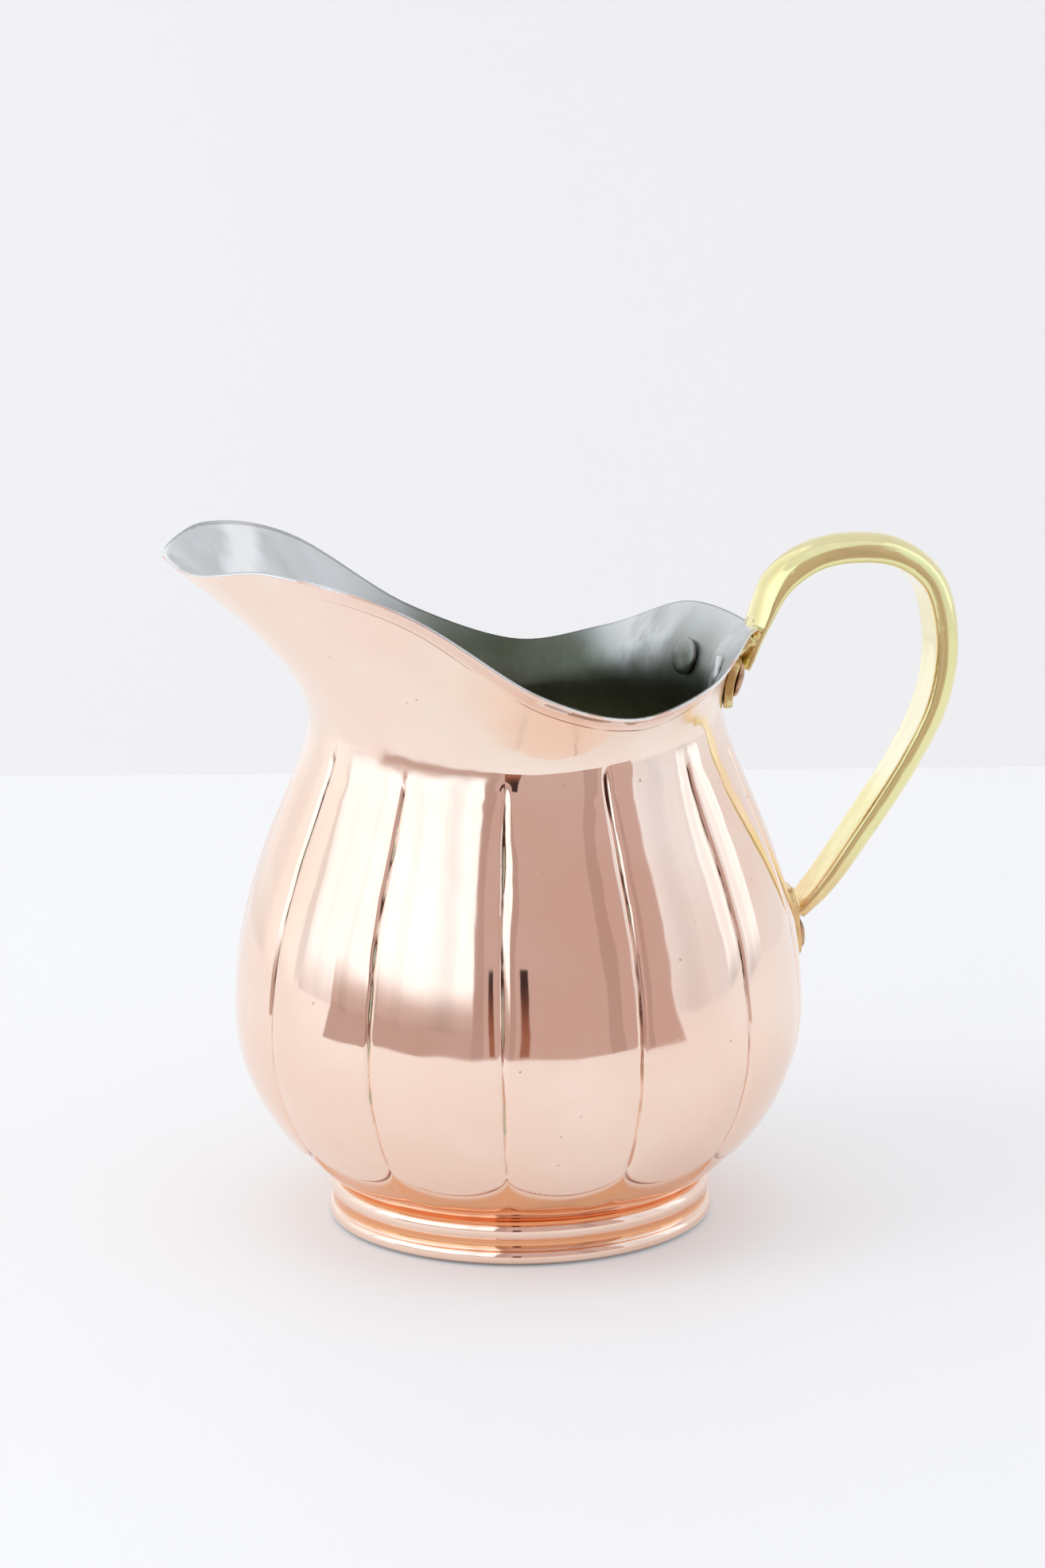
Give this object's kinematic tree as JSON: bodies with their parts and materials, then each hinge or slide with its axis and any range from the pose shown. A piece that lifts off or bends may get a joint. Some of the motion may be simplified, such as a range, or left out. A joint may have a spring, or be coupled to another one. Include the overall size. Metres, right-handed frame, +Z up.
{
  "type": "milk frothing pitcher",
  "caption": "Fluted pear-shaped copper pitcher for frothing and pouring milk, tinned inside, with a wide flared spout, a moulded foot ring and a riveted brass ear handle",
  "frame": {"origin": "on the floor under the middle of the whole pitcher, spout and handle included, so the body's axis stands at x = -0.0114", "axes": "+Z up, the spout points along -X and the handle along +X, and the pitcher is the same on both sides of the XZ plane, except that its lobes stand 2.5 degrees round from the spout"},
  "size_m": [0.1534, 0.1081, 0.1319],
  "materials": {
    "polished_copper": "mirror polished",
    "wiped_tin": "hand wiped, dull",
    "solder": "dull",
    "cast_brass": "polished",
    "rivet_copper": "darkened"
  },
  "bodies": {
    "root": {"body_shell": "polished_copper", "tin_lining": "wiped_tin", "foot_ring": "polished_copper", "foot_solder": "solder", "handle": "cast_brass", "upper_rivet_left": "rivet_copper", "upper_rivet_right": "rivet_copper", "lower_rivet": "rivet_copper"}
  },
  "joints": []
}
